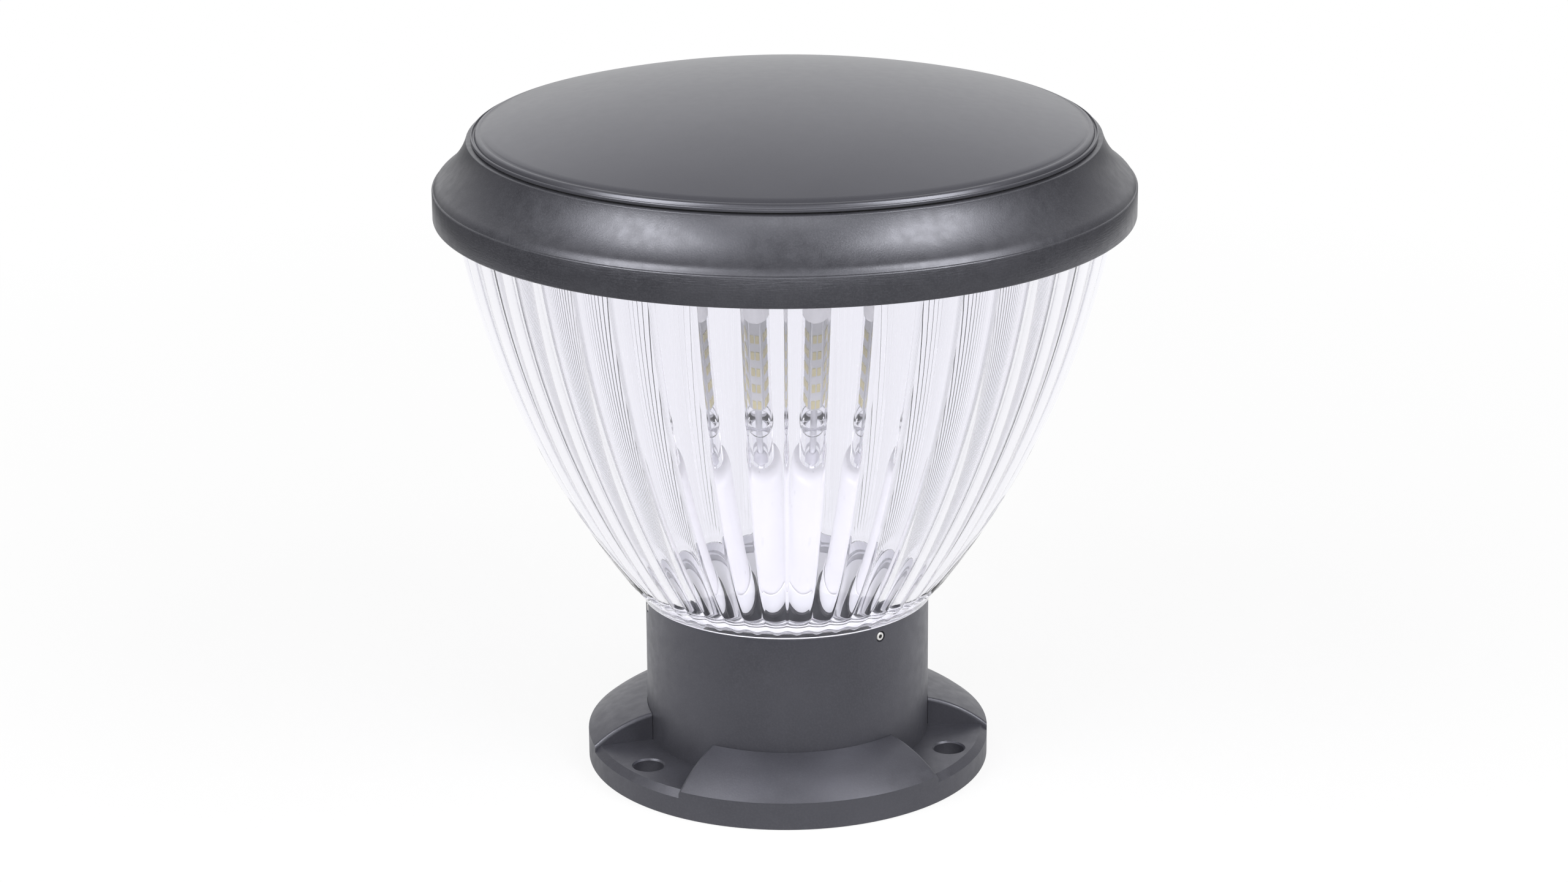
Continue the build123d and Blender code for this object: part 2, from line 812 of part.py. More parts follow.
def crest(height):
    """The lens radius over the flute crests at a height."""
    return bow_radius_centre + sqrt(lens_bow_radius**2 - (height - bow_height_centre) ** 2)


flute_start = lens_seat + clear_ring
flute_full = flute_start + flute_runout
flute_end = lens_lip_bottom + lens_overlap
flute_pitch = 360.0 / flute_count
flute_heights = [flute_start, flute_start + flute_runout_middle, flute_full]
flute_step = (flute_end - flute_full) / flute_sections
flute_heights += [flute_full + k * flute_step for k in range(1, flute_sections + 1)]


def flute_depth_at(height):
    """The depth of the valleys, which run out to nothing above the clear ring."""
    share = min(1.0, (height - flute_start) / flute_runout)
    return max(flute_least_depth, flute_depth * crest(height) / lens_rim_radius * sqrt(share))


root_top = lens_seat + neck_root + neck_root_slope
with BuildPart() as diffuser:
    for height in flute_heights:
        valley = crest(height) - flute_depth_at(height)
        with BuildSketch(Plane.XY.offset(height)):
            with BuildLine():
                for k in range(flute_count):
                    angle = FRONT + k * flute_pitch
                    ThreePointArc(
                        polar(valley, angle),
                        polar(crest(height), angle + flute_pitch / 2),
                        polar(valley, angle + flute_pitch),
                    )
            make_face()
    loft()
    with BuildSketch(Plane.XZ):
        with BuildLine():
            Polyline(
                (0, neck_bottom),
                (neck_radius, neck_bottom),
                (neck_radius, lens_seat),
                (lens_foot_radius, lens_seat),
                (crest(flute_start) + clear_ring_proud, flute_start),
                (crest(flute_start) - flute_depth, flute_start),
                (crest(flute_start) - flute_depth, flute_start + lens_overlap),
                (0, flute_start + lens_overlap),
                close=True,
            )
        make_face()
    revolve(axis=Axis.Z)
    with BuildSketch(Plane.XY.offset(lens_lip_bottom)):
        Circle(lens_lip_side)
    extrude(amount=lens_lip_thickness)
    with BuildSketch(Plane.XZ):
        with BuildLine():
            Polyline(
                (crest(lens_lip_bottom) - lens_wall, lens_lip_bottom),
                (lens_lip_inner, lens_lip_bottom),
                (lens_lip_inner, lens_top),
                (0, lens_top),
                (0, neck_bottom),
                (neck_inner, neck_bottom),
                (neck_inner, lens_seat + neck_root),
                (crest(root_top) - lens_wall, root_top),
            )
            ThreePointArc(
                (crest(root_top) - lens_wall, root_top),
                (crest((root_top + lens_lip_bottom) / 2) - lens_wall, (root_top + lens_lip_bottom) / 2),
                (crest(lens_lip_bottom) - lens_wall, lens_lip_bottom),
            )
        make_face()
    revolve(axis=Axis.Z, mode=Mode.SUBTRACT)

lens_gasket = ring(shelf_inner, lens_lip_side, lens_top, shelf_bottom)

# Rim ring
clip_places = polar_places(clip_circle, clip_count, 0)
lid_screw_places = polar_places(lid_screw_circle, lid_screw_count, lid_screw_angle)
band_lip_inner = lens_lip_side + band_lip_play
band_inner = band_lip_inner + band_lip_step
shoulder_start = (band_radius - shoulder_foot, band_top)
shoulder_turn = (shoulder_turn_radius, band_top + shoulder_turn_rise)
shoulder_end = (shoulder_top_radius, ring_top)
with BuildPart() as rim_ring:
    with BuildSketch(Plane.XZ):
        with BuildLine():
            Polyline(
                shoulder_end,
                (ring_deck_inner, ring_top),
                (ring_deck_inner, deck_bottom),
                (shoulder_top_radius - ring_wall, deck_bottom),
                (band_radius - ring_cove_inset, band_top + ring_cove_rise),
                (band_radius - ring_band_wall, band_top + ring_band_rise),
                (band_radius - ring_band_wall, shelf_top),
                (shelf_inner, shelf_top),
                (shelf_inner, shelf_bottom),
                (band_inner, shelf_bottom),
                (band_inner, band_bottom + band_lip_height),
                (band_lip_inner, band_bottom + band_lip_height),
                (band_lip_inner, band_bottom),
                (band_radius - band_edge_round, band_bottom),
                (band_radius, band_bottom + band_edge_round),
                (band_radius, band_top - band_edge_round),
                shoulder_start,
            )
            lower_middle = bowed(shoulder_start, shoulder_turn, -shoulder_lower_bow)
            ThreePointArc(shoulder_start, lower_middle, shoulder_turn)
            ThreePointArc(shoulder_turn, bowed(shoulder_turn, shoulder_end, shoulder_upper_bow), shoulder_end)
        make_face()
    revolve(axis=Axis.Z)
    with BuildSketch(Plane.XY.offset(reflector_top)):
        with Locations(*clip_places):
            Circle(clip_boss_radius)
    extrude(amount=deck_bottom - reflector_top)
    with BuildSketch(Plane.XY.offset(reflector_top)):
        with Locations(*clip_places):
            Circle(screw_radius + screw_play)
    extrude(amount=screw_bite + screw_play, mode=Mode.SUBTRACT)
    with BuildSketch(Plane.XY.offset(deck_bottom)):
        with Locations(*lid_screw_places):
            Circle(screw_radius + through_play)
    extrude(amount=ring_deck, mode=Mode.SUBTRACT)

# Domed lid and its gasket
lid_gasket = ring(lid_gasket_inner, lid_radius - lid_gasket_inset, ring_top, lid_seat)


def dome_height(radius):
    """The height of the lid's top surface at a radius."""
    return lid_apex - dome_radius + sqrt(dome_radius**2 - radius**2)


lid_seat_inner = lid_radius - lid_seat_width
lid_boss_top = dome_height(lid_screw_circle) - lid_boss_root
lid_screw_tip = dome_height(lid_screw_circle + screw_radius) - lid_wall
with BuildPart() as dome_lid:
    with BuildSketch(Plane.XZ) as lid_outline:
        with BuildLine():
            dome_middle = (lid_radius / 2, dome_height(lid_radius / 2))
            ThreePointArc((0, lid_apex), dome_middle, (lid_radius, lid_edge))
            Polyline(
                (lid_radius, lid_edge),
                (lid_radius, lid_seat),
                (lid_seat_inner, lid_seat),
                (lid_seat_inner, dome_height(lid_seat_inner) - lid_wall),
            )
            ThreePointArc(
                (lid_seat_inner, dome_height(lid_seat_inner) - lid_wall),
                (lid_seat_inner / 2, dome_height(lid_seat_inner / 2) - lid_wall),
                (0, lid_apex - lid_wall),
            )
            Line((0, lid_apex - lid_wall), (0, lid_apex))
        make_face()
        fillet(lid_outline.vertices().group_by(Axis.X)[-1].sort_by(Axis.Y)[-1], radius=lid_edge_round)
    revolve(axis=Axis.Z)
    with BuildSketch(Plane.XY.offset(lid_seat)):
        with Locations(*lid_screw_places):
            Circle(lid_boss_radius)
    extrude(amount=lid_boss_top - lid_seat)
    with BuildSketch(Plane.XY.offset(lid_seat)):
        with Locations(*lid_screw_places):
            Circle(screw_radius + screw_play)
    extrude(amount=lid_screw_tip + screw_play - lid_seat, mode=Mode.SUBTRACT)

lid_screws = pan_screws(lid_screw_places, deck_bottom, lid_screw_tip)

# Reflector and lens clips inside the cap
with BuildPart() as cap_reflector:
    with BuildSketch(Plane.XY.offset(shelf_bottom)):
        Circle(shelf_inner - reflector_play)
        with Locations(*clip_places):
            Circle(screw_radius + through_play, mode=Mode.SUBTRACT)
    extrude(amount=reflector_sheet)

with BuildPart() as lens_clips:
    for k in range(clip_count):
        with BuildSketch(meridian_plane(k * 360.0 / clip_count)):
            with BuildLine():
                Polyline(
                    (clip_circle - clip_back, shelf_bottom),
                    (clip_leg_outer, shelf_bottom),
                    (clip_leg_outer, lens_lip_bottom),
                    (clip_leg_outer + clip_hook, lens_lip_bottom),
                    (clip_leg_outer + clip_hook, lens_lip_bottom - clip_sheet),
                    (clip_leg_inner, lens_lip_bottom - clip_sheet),
                    (clip_leg_inner, clip_deck_bottom),
                    (clip_circle - clip_back, clip_deck_bottom),
                    close=True,
                )
            make_face()
        extrude(amount=clip_width / 2, both=True)
    with BuildSketch(Plane.XY.offset(clip_deck_bottom)):
        with Locations(*clip_places):
            Circle(screw_radius + through_play)
    extrude(amount=clip_sheet, mode=Mode.SUBTRACT)

clip_screws = pan_screws(clip_places, clip_deck_bottom, reflector_top + screw_bite)

# Lamp
with BuildPart() as lamp_contact:
    with BuildSketch(Plane.XY.offset(cap_contact_bottom)):
        Circle(cap_contact_radius)
    extrude(amount=cap_contact_height)

lamp_insulator = turned([
    (0, cap_bottom),
    (cap_insulator_foot, cap_bottom),
    (cap_radius - cap_wall, shell_bottom),
    (0, shell_bottom),
])
lamp_shell = turned([
    (cap_radius - cap_wall, shell_bottom),
    (cap_radius, shell_bottom),
    (cap_radius, body_bottom),
    (cap_radius - cap_wall, body_bottom),
])
spigot_radius = cap_radius - cap_wall - body_spigot_play
flare_top = body_bottom + body_flare_height
with BuildPart() as lamp_body:
    with BuildSketch(Plane.XZ) as body_outline:
        with BuildLine():
            Polyline(
                (body_radius, flare_top),
                (body_radius, body_top),
                (0, body_top),
                (0, body_top - body_wall),
                (body_radius - body_wall, body_top - body_wall),
                (body_radius - body_wall, flare_top + body_wall),
                (spigot_radius - body_wall, body_bottom + body_wall),
                (spigot_radius - body_wall, body_bottom - body_spigot),
                (spigot_radius, body_bottom - body_spigot),
                (spigot_radius, body_bottom),
                (body_foot_radius, body_bottom),
            )
            ThreePointArc(
                (body_foot_radius, body_bottom),
                bowed((body_foot_radius, body_bottom), (body_radius, flare_top), -body_flare_bow),
                (body_radius, flare_top),
            )
        make_face()
        fillet(body_outline.vertices().group_by(Axis.X)[-1].sort_by(Axis.Y)[-1], radius=body_edge_round)
    revolve(axis=Axis.Z)

with BuildPart() as lamp_tube:
    with BuildSketch(Plane.XY.offset(body_top)):
        Circle(tube_lamp_radius)
        Circle(tube_lamp_radius - tube_lamp_wall, mode=Mode.SUBTRACT)
    extrude(amount=tube_lamp_height)
    with BuildSketch(Plane.XY.offset(body_top + bead_height)):
        Circle(tube_lamp_radius + bead_depth)
        Circle(tube_lamp_radius - tube_lamp_wall, mode=Mode.SUBTRACT)
    extrude(amount=bead_width)

with BuildPart() as column_stem:
    with BuildSketch(Plane.XY.offset(body_top)):
        Circle(stem_radius)
    extrude(amount=stem_height)

with BuildPart() as board_column:
    with BuildSketch(Plane.XY.offset(column_bottom)):
        RegularPolygon(column_apothem, column_side_count, major_radius=False)
    extrude(amount=column_height)

board_angles = [(k + 1 / 2) * 360.0 / column_side_count for k in range(column_side_count)]
board_middle = (column_bottom + column_top) / 2
chip_middle = column_bottom + chip_first_row + (chip_rows - 1) * chip_pitch / 2
with BuildPart() as light_boards:
    for angle in board_angles:
        with BuildSketch(radial_plane(column_apothem, angle, board_middle)):
            Rectangle(board_width, column_height)
        extrude(amount=board_thickness)

with BuildPart() as light_chips:
    for angle in board_angles:
        with BuildSketch(radial_plane(column_apothem + board_thickness, angle, chip_middle)):
            with GridLocations(chip_spread, chip_pitch, 2, chip_rows):
                Rectangle(chip_width, chip_height)
        extrude(amount=chip_thickness)

lamp_tube_top = body_top + tube_lamp_height
with BuildPart() as lamp_top:
    with BuildSketch(Plane.XY.offset(lamp_tube_top)):
        Circle(tube_lamp_radius)
    extrude(amount=lamp_top_height)
    fillet(lamp_top.edges().group_by(Axis.Z)[-1], radius=lamp_top_round)

driver_bottom = flare_top + body_wall + driver_rise
with BuildPart() as driver_board:
    with BuildSketch(Plane.XY.offset(driver_bottom)):
        Rectangle(2 * (body_radius - body_wall - driver_play), driver_thickness)
    extrude(amount=driver_height)

with BuildPart() as driver_parts:
    with BuildSketch(Plane.XZ.offset(driver_thickness / 2)):
        with Locations((0, driver_bottom + choke_rise)):
            Rectangle(choke_size, choke_height)
    extrude(amount=choke_size)
    with BuildSketch(Plane.XZ.offset(-driver_thickness / 2)):
        with Locations((0, driver_bottom + capacitor_rise)):
            Circle(capacitor_radius)
    extrude(amount=-capacitor_length)

pieces = {
    "base_flange": base_flange,
    "pillar_tube": pillar_tube,
    "tube_seal": tube_seal,
    "tube_screws": tube_screws,
    "neck_gasket": neck_gasket,
    "cable_grommet": cable_grommet,
    "holder_bridge": holder_bridge,
    "bridge_screws": bridge_screws,
    "lampholder_body": lampholder_body,
    "lampholder_shell": lampholder_shell,
    "lampholder_contact": lampholder_contact,
    "holder_screws": holder_screws,
    "neck_reflector": neck_reflector,
    "shade_ring": shade_ring,
    "terminal_block": terminal_block,
    "terminal_screws": terminal_screws,
    "block_screws": block_screws,
    "earth_tag": earth_tag,
    "earth_screw": earth_screw,
    "lead_live": lead_live,
    "lead_neutral": lead_neutral,
    "lead_earth": lead_earth,
    "diffuser": diffuser,
    "lens_gasket": lens_gasket,
    "rim_ring": rim_ring,
    "dome_lid": dome_lid,
    "lid_gasket": lid_gasket,
    "lid_screws": lid_screws,
    "cap_reflector": cap_reflector,
    "lens_clips": lens_clips,
    "clip_screws": clip_screws,
    "lamp_contact": lamp_contact,
    "lamp_insulator": lamp_insulator,
    "lamp_shell": lamp_shell,
    "lamp_body": lamp_body,
    "lamp_tube": lamp_tube,
    "lamp_top": lamp_top,
    "column_stem": column_stem,
    "board_column": board_column,
    "light_boards": light_boards,
    "light_chips": light_chips,
    "driver_board": driver_board,
    "driver_parts": driver_parts,
}
for k, angle in enumerate(grub_angles, start=1):
    pieces[f"grub_tip_{k}"] = grub_tip(angle)
    pieces[f"grub_screw_{k}"] = grub_screw(angle)

os.makedirs("parts", exist_ok=True)
for name, piece in pieces.items():
    piece.part.label = name
    export_step(piece.part, f"parts/{name}.step")
print(f"{len(pieces)} pieces, lamp top at {lamp_tube_top + lamp_top_height:.1f}, cap top at {lid_apex:.1f}")
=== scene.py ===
# %% [markdown]
# # A pillar lantern
# The solids of the lantern come in as a fixed frame, in metres, with +Z up and the front at -Y.
# This lesson lights them, photographs them from the front and gives every piece its finish.
# Where a solid is too plain for a close look, a new mesh takes its place and moves with the same body.

# %% The frame
import json
from math import asin, atan2, hypot, pi, radians, sqrt

import bmesh
import bpy
from mathutils import Matrix, Vector


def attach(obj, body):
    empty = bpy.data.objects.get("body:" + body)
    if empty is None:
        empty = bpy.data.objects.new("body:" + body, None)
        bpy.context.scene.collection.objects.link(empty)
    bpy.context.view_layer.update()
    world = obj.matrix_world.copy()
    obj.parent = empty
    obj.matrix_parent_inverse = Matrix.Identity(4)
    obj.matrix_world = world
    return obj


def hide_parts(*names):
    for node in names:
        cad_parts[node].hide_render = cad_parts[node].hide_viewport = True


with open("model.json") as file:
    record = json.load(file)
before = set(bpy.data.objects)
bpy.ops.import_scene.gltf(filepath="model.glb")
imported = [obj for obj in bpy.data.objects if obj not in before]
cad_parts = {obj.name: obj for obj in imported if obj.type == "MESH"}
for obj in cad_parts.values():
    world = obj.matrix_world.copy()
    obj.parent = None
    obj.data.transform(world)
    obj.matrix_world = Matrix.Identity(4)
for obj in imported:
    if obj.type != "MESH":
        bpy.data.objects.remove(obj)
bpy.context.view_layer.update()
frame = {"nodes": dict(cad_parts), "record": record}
MM = 0.001
print("solids:", len(frame["nodes"]))

# %% [markdown]
# ## Camera
# The photo was taken from a little above, with a long lens, about 1.3 m in front of the lantern.
# A camera can be aimed with a constraint or placed by hand. Here the place, the tilt and the focal length
# were fitted to the round edges of the lantern, so they are simply set.

# %% The camera
CAMERA_PLACE = (-0.0008, -1.294, 0.558)
CAMERA_TILT = 71.33
CAMERA_ROLL = -0.34
FOCAL_LENGTH = 86.29
camera = bpy.data.objects.new("camera", bpy.data.cameras.new("camera"))
bpy.context.scene.collection.objects.link(camera)
camera.data.sensor_width = 36.0
camera.data.lens = FOCAL_LENGTH
camera.data.clip_start = 0.05
tilt = Matrix.Rotation(radians(CAMERA_TILT), 4, "X")
roll = Matrix.Rotation(radians(CAMERA_ROLL), 4, "Z")
camera.matrix_world = Matrix.Translation(CAMERA_PLACE) @ tilt @ roll
bpy.context.scene.camera = camera
print("camera at", [round(v, 3) for v in camera.location])

# %% [markdown]
# ## White studio
# The lantern stands on a white sweep, in a room that is darker than the sweep. More lamps could make the background
# white, but they would bleach the lantern too. So the sky and the floor ask what kind of ray looks at them. They are
# white to the camera, also through glass, they fade from place to place for mirrored rays, and they are dimmer
# for matt surfaces. A few small helpers keep the node trees short.

# %% Helpers for node trees
def add(tree, kind, **settings):
    """Adds a node and sets its inputs and options by name."""
    node = tree.nodes.new(kind)
    for key, value in settings.items():
        if key in node.inputs:
            node.inputs[key].default_value = value
        else:
            setattr(node, key, value)
    return node


def between(tree, value, low, high, start=0.3, end=0.7):
    """A value from start to end, stretched to run from low to high."""
    spread = add(tree, "ShaderNodeMapRange")
    spread.inputs["From Min"].default_value = start
    spread.inputs["From Max"].default_value = end
    spread.inputs["To Min"].default_value = low
    spread.inputs["To Max"].default_value = high
    tree.links.new(value, spread.inputs["Value"])
    return spread.outputs[0]


def sum_up(tree, operation, first, second):
    """Two values joined by an operation. A value is a number, or the output of a node."""
    node = add(tree, "ShaderNodeMath", operation=operation)
    for socket, value in zip(node.inputs, (first, second)):
        if isinstance(value, float):
            socket.default_value = value
        else:
            tree.links.new(value, socket)
    return node.outputs[0]


view = bpy.context.scene.view_settings
view.view_transform = "Standard"
print("view transform:", view.view_transform)

# %% [markdown]
# ## Sky
# Matt surfaces get an even, soft light from the sky. The camera sees it white, directly or through clear pieces.
# In a real studio the white sweep stands behind the object, and the room over the camera is darker.
# A satin coat shows that: it is bright where it mirrors the sweep and dark where it mirrors the room.
# So mirrored rays see a sky that fades from the rear to the front, from the horizon upwards and to both sides.
# A ray that has left a matt surface gets the soft light only, even where it then passes through glass.

# %% The sky
SKY_LIGHT = 0.30
ROOM_DARK = 0.10
world = bpy.data.worlds.new("white_tent")
bpy.context.scene.world = world
world.use_nodes = True
sky = world.node_tree
path = add(sky, "ShaderNodeLightPath")
towards = add(sky, "ShaderNodeSeparateXYZ")
sky.links.new(add(sky, "ShaderNodeTexCoord").outputs["Generated"], towards.inputs[0])
rear = between(sky, towards.outputs["Y"], 0.0, 1.0, 0.1, 0.85)
low = between(sky, towards.outputs["Z"], 1.0, 0.2, 0.4, 0.95)
sideways = sum_up(sky, "ABSOLUTE", towards.outputs["X"], 0.0)
inside = between(sky, sideways, 1.0, 0.0, 0.35, 0.9)
behind = sum_up(sky, "MULTIPLY", sum_up(sky, "MULTIPLY", rear, low), inside)
sweep = between(sky, behind, ROOM_DARK, 1.0, 0.0, 1.0)
sharp = sum_up(sky, "LESS_THAN", path.outputs["Diffuse Depth"], 0.5)
through = sum_up(sky, "MULTIPLY", path.outputs["Is Transmission Ray"], sharp)
white = sum_up(sky, "MAXIMUM", path.outputs["Is Camera Ray"], through)
mirrored = sum_up(sky, "MULTIPLY", path.outputs["Is Glossy Ray"], sweep)
seen = sum_up(sky, "MULTIPLY", sum_up(sky, "MAXIMUM", white, mirrored), sharp)
matt = sum_up(sky, "MULTIPLY", sum_up(sky, "SUBTRACT", 1.0, sharp), SKY_LIGHT)
glow = sky.nodes["Background"]
sky.links.new(sum_up(sky, "MAXIMUM", seen, matt), glow.inputs["Strength"])
glow.inputs["Color"].default_value = (1.0, 1.0, 1.0, 1.0)
print("sky lights with", SKY_LIGHT)

# %% [markdown]
# ## Floor
# The floor is a plain disc of white paper. A curved sweep could be modelled, but a white disc under a white sky shows
# no edge. The camera sees mostly pure white, mixed with the paper's own lit colour, so that the lantern's shadow stays.
# The mix is whiter further out. Satin surfaces mirror a floor that is bright behind the lantern and dim in front of it.

# %% The paper's shader
FLOOR_WHITE = 0.86
BRIGHT_MIDDLE = 0.08
paper = bpy.data.materials.new("paper_sweep")
paper.use_nodes = True
tree = paper.node_tree
lit = tree.nodes["Principled BSDF"]
lit.inputs["Base Color"].default_value = (0.9, 0.9, 0.9, 1.0)
lit.inputs["Roughness"].default_value = 0.9
path = add(tree, "ShaderNodeLightPath")
where = add(tree, "ShaderNodeTexCoord").outputs["Object"]
place = add(tree, "ShaderNodeSeparateXYZ")
tree.links.new(where, place.inputs[0])
away = add(tree, "ShaderNodeVectorMath", operation="LENGTH")
tree.links.new(where, away.inputs[0])
whiter = between(tree, away.outputs["Value"], FLOOR_WHITE, 1.0, 0.15, 0.8)
near = between(tree, place.outputs["Y"], 0.28, 1.0, -0.15, 0.13)
sideways = sum_up(tree, "ABSOLUTE", sum_up(tree, "SUBTRACT", place.outputs["X"], BRIGHT_MIDDLE), 0.0)
fade = sum_up(tree, "MULTIPLY", near, between(tree, sideways, 1.0, ROOM_DARK, 0.4, 0.75))
sharp = sum_up(tree, "LESS_THAN", path.outputs["Diffuse Depth"], 0.5)
through = sum_up(tree, "MULTIPLY", path.outputs["Is Transmission Ray"], sharp)
direct = sum_up(tree, "MAXIMUM", path.outputs["Is Camera Ray"], through)
mirrored = sum_up(tree, "MULTIPLY", path.outputs["Is Glossy Ray"], sharp)
print("floor's share of white near the lantern:", FLOOR_WHITE)

# %% The paper's mix and the floor
bright = add(tree, "ShaderNodeEmission", Color=(1.0, 1.0, 1.0, 1.0))
tree.links.new(sum_up(tree, "MAXIMUM", direct, fade), bright.inputs["Strength"])
mixed = add(tree, "ShaderNodeMixShader")
share = sum_up(tree, "MAXIMUM", sum_up(tree, "MULTIPLY", direct, whiter), mirrored)
tree.links.new(share, mixed.inputs["Fac"])
tree.links.new(lit.outputs[0], mixed.inputs[1])
tree.links.new(bright.outputs[0], mixed.inputs[2])
tree.links.new(mixed.outputs[0], tree.nodes["Material Output"].inputs["Surface"])

FLOOR_RADIUS = 6.0
shape = bmesh.new()
below = Matrix.Translation((0.0, 0.0, -0.3 * MM))
bmesh.ops.create_circle(shape, cap_ends=True, radius=FLOOR_RADIUS, segments=96, matrix=below)
floor = bpy.data.objects.new("floor", bpy.data.meshes.new("floor"))
shape.to_mesh(floor.data)
shape.free()
floor.data.materials.append(paper)
bpy.context.scene.collection.objects.link(floor)
print("floor", 2 * FLOOR_RADIUS, "m across")

# %% [markdown]
# ## Softboxes
# Two large softboxes stand at the front, left and right, higher than the lantern. They draw the two broad soft
# highlights on the cap's shoulder. A third, weaker one above the camera fills the front and reaches the lamp through
# the lens. Point lamps would be quicker to place, but they would leave small hard spots on the satin coat.

# %% The softboxes
def softbox(name, place, width, height, power):
    """A rectangular lamp at a place, aimed at the middle of the lens."""
    light = bpy.data.lights.new(name, "AREA")
    light.shape = "RECTANGLE"
    light.size = width
    light.size_y = height
    light.energy = power
    box = bpy.data.objects.new(name, light)
    aim = Vector((0.0, 0.0, 0.15)) - Vector(place)
    box.matrix_world = Matrix.Translation(place) @ aim.to_track_quat("-Z", "Y").to_matrix().to_4x4()
    bpy.context.scene.collection.objects.link(box)
    print(name, "at", place, power, "W")


softbox("softbox_left", (-1.06, -0.74, 1.28), width=0.8, height=1.1, power=19.0)
softbox("softbox_right", (1.06, -0.74, 1.28), width=0.8, height=1.1, power=19.5)
softbox("softbox_front", (0.0, -1.7, 0.9), width=1.4, height=0.7, power=7.0)

# %% [markdown]
# ## Finishes
# Every finish is built from the same few steps: a noise on Object coordinates, a range for it, a colour mix
# and a bump. Object coordinates are in metres and stay with the piece, so a grain has a real size.
# A picture could be wrapped round the lantern instead, but noise needs no seams and works from any side.

# %% Steps for finishes
def finish(name, roughness, metallic=0.0):
    """A new material, its node tree and its shader."""
    material = bpy.data.materials.new(name)
    material.use_nodes = True
    shader = material.node_tree.nodes["Principled BSDF"]
    shader.inputs["Roughness"].default_value = roughness
    shader.inputs["Metallic"].default_value = metallic
    return material, material.node_tree, shader


def grain(tree, size, detail=2.0, stretch=(1.0, 1.0, 1.0)):
    """Noise with patches of about size in millimetres."""
    where = add(tree, "ShaderNodeTexCoord")
    scaled = add(tree, "ShaderNodeMapping", Scale=stretch)
    noise = add(tree, "ShaderNodeTexNoise", Scale=1.0 / (size * MM), Detail=detail)
    tree.links.new(where.outputs["Object"], scaled.inputs["Vector"])
    tree.links.new(scaled.outputs[0], noise.inputs["Vector"])
    return noise.outputs["Fac"]


def blend_colours(tree, share, first, second):
    """A colour between two others. A colour is three numbers, or the output of another blend."""
    mix = add(tree, "ShaderNodeMix", data_type="RGBA")
    tree.links.new(share, mix.inputs[0])
    for socket, colour in ((mix.inputs[6], first), (mix.inputs[7], second)):
        if isinstance(colour, tuple):
            socket.default_value = (*colour, 1.0)
        else:
            tree.links.new(colour, socket)
    return mix.outputs[2]


def bump(tree, shader, height, depth, strength=1.0):
    """Dents of a depth in millimetres."""
    node = add(tree, "ShaderNodeBump", Strength=strength, Distance=depth * MM)
    tree.links.new(height, node.inputs["Height"])
    tree.links.new(node.outputs[0], shader.inputs["Normal"])


finishes = {}

# %% [markdown]
# ## Powder coat
# The castings and the tube are sprayed with an anthracite powder that is baked on. It is satin, slightly
# pebbled, with fine pale specks. The lid is pressed from sheet and is the smoothest.
# One plain grey would do from far away. Near by, the specks and the uneven gloss make it look sprayed.

# %% Anthracite coats
def anthracite(name, dark, pale, roughness, pebble, depth, uneven=0.05):
    """A powder coat with pebbles of a size and depth in millimetres, and a gloss that is a little uneven."""
    material, tree, shader = finish(name, roughness)
    shader.inputs["Specular IOR Level"].default_value = 1.0
    shader.inputs["IOR"].default_value = 1.6
    shader.inputs["Specular Tint"].default_value = (0.88, 0.89, 1.0, 1.0)
    fine = grain(tree, pebble, 3.0)
    clouds = grain(tree, 26.0, 3.0)
    specks = between(tree, fine, 0.0, 1.0, 0.42, 0.80)
    middle = tuple((a + b) / 2 for a, b in zip(dark, pale))
    ground = blend_colours(tree, between(tree, clouds, 0.0, 1.0), dark, middle)
    tree.links.new(blend_colours(tree, specks, ground, pale), shader.inputs["Base Color"])
    gloss = between(tree, grain(tree, 4.0), roughness - uneven, roughness + uneven)
    tree.links.new(gloss, shader.inputs["Roughness"])
    bump(tree, shader, fine, depth)
    finishes[name] = material
    return tree, shader


anthracite("housing_coat", (0.034, 0.034, 0.041), (0.054, 0.054, 0.064), 0.42, 0.7, 0.03)
anthracite("lid_coat", (0.046, 0.046, 0.054), (0.058, 0.058, 0.067), 0.31, 0.5, 0.003, 0.01)
tree, shader = anthracite("rim_coat", (0.022, 0.022, 0.027), (0.050, 0.050, 0.058), 0.41, 0.6, 0.035)
print("coats:", sorted(finishes))

# %% [markdown]
# ## Turned rim
# The cap's rim was turned on a lathe before it was coated, so short strokes still show through on the band. They
# follow the rim round, so the noise is read by angle and height instead of by place. It changes slowly with the angle
# and quickly with the height. A thin clear coat on top brightens the rim where it is seen at a slant.

# %% Strokes on the rim's band
STROKES_PER_METRE = 1900.0
STROKE_DEPTH = 0.09
STROKE_CHANGE = 0.012
BAND_END = (218.6, 219.4)
shader.inputs["Coat Weight"].default_value = 0.25
shader.inputs["Coat Roughness"].default_value = 0.28
parts = add(tree, "ShaderNodeSeparateXYZ")
tree.links.new(add(tree, "ShaderNodeTexCoord").outputs["Object"], parts.inputs[0])
around = sum_up(tree, "ARCTAN2", parts.outputs["Y"], parts.outputs["X"])
strokes = add(tree, "ShaderNodeCombineXYZ")
tree.links.new(sum_up(tree, "MULTIPLY", around, STROKE_CHANGE), strokes.inputs["X"])
tree.links.new(parts.outputs["Z"], strokes.inputs["Z"])
scratch = add(tree, "ShaderNodeTexNoise", Scale=STROKES_PER_METRE, Detail=2.0)
tree.links.new(strokes.outputs[0], scratch.inputs["Vector"])
on_band = between(tree, parts.outputs["Z"], 1.0, 0.0, BAND_END[0] * MM, BAND_END[1] * MM)
pebbles = shader.inputs["Normal"].links[0].from_node
rings = add(tree, "ShaderNodeBump", Strength=1.0, Distance=STROKE_DEPTH * MM)
tree.links.new(sum_up(tree, "MULTIPLY", scratch.outputs["Fac"], on_band), rings.inputs["Height"])
